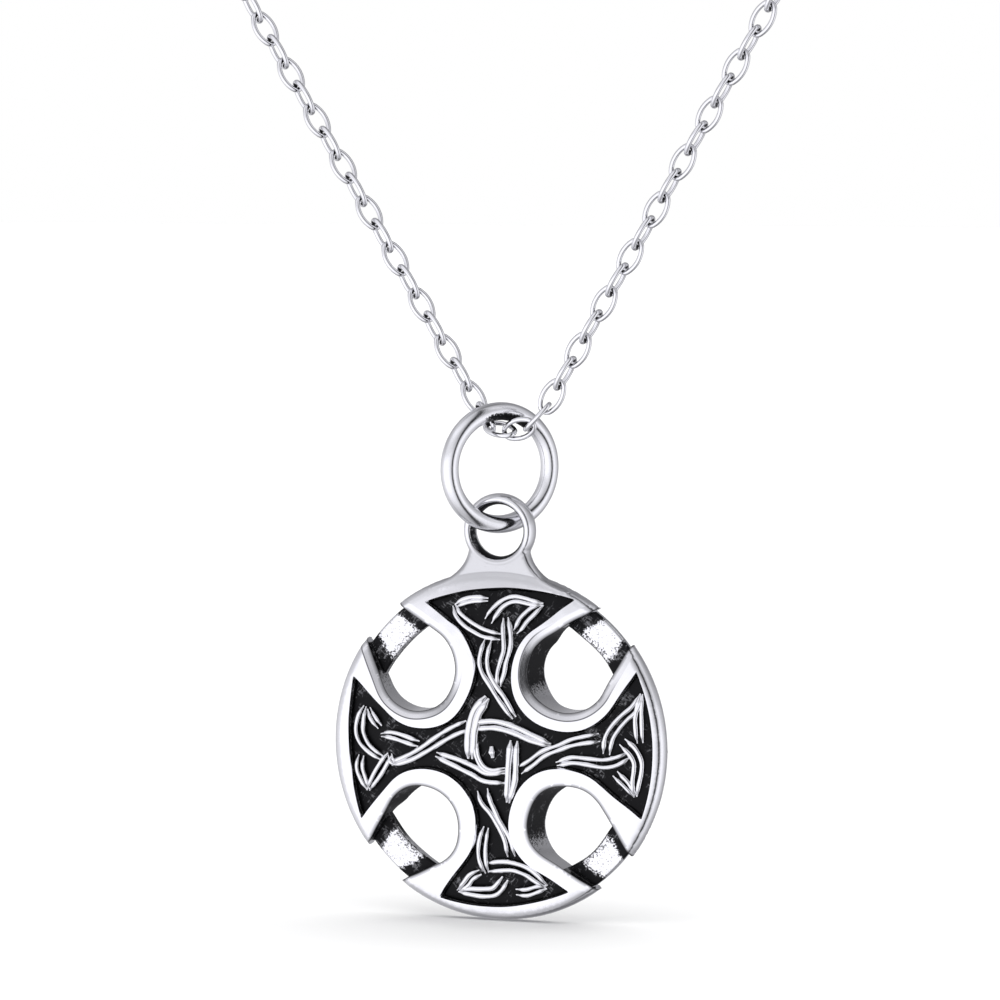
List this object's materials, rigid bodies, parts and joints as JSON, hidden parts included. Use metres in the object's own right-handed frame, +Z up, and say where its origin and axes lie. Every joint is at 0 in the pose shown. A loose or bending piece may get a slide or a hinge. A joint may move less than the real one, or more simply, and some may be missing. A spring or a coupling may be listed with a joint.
{
  "type": "canterbury cross pendant necklace",
  "caption": "Round silver disc pendant with a cross of flared arms in blackened relief knotwork, hung by a thick jump ring on a fine cable chain.",
  "frame": {"origin": "centre of the clasp, where it rests on the nape of the neck", "axes": "+Z up, -Y the way the pendant's face looks, +X to the right in the picture"},
  "size_m": [0.1104, 0.0982, 0.1575],
  "materials": {
    "antiqued_silver": "polished",
    "polished_silver": "polished"
  },
  "bodies": {
    "necklace": {"chain": "polished_silver", "clasp": "polished_silver"},
    "ring": {"bail_ring": "polished_silver"},
    "pendant": {"cross_disc": "antiqued_silver"}
  },
  "joints": [
    {"name": "ring_swing", "type": "hinge", "parent": "necklace", "child": "ring", "pos_m": [0, -0.0933, -0.1199], "axis": [0.848, -0.5299, 0], "range_deg": [-30, 30]},
    {"name": "pendant_swing", "type": "hinge", "parent": "ring", "child": "pendant", "pos_m": [0, -0.094, -0.12622], "axis": [0.6691, 0.7431, 0], "range_deg": [-25, 25]}
  ]
}
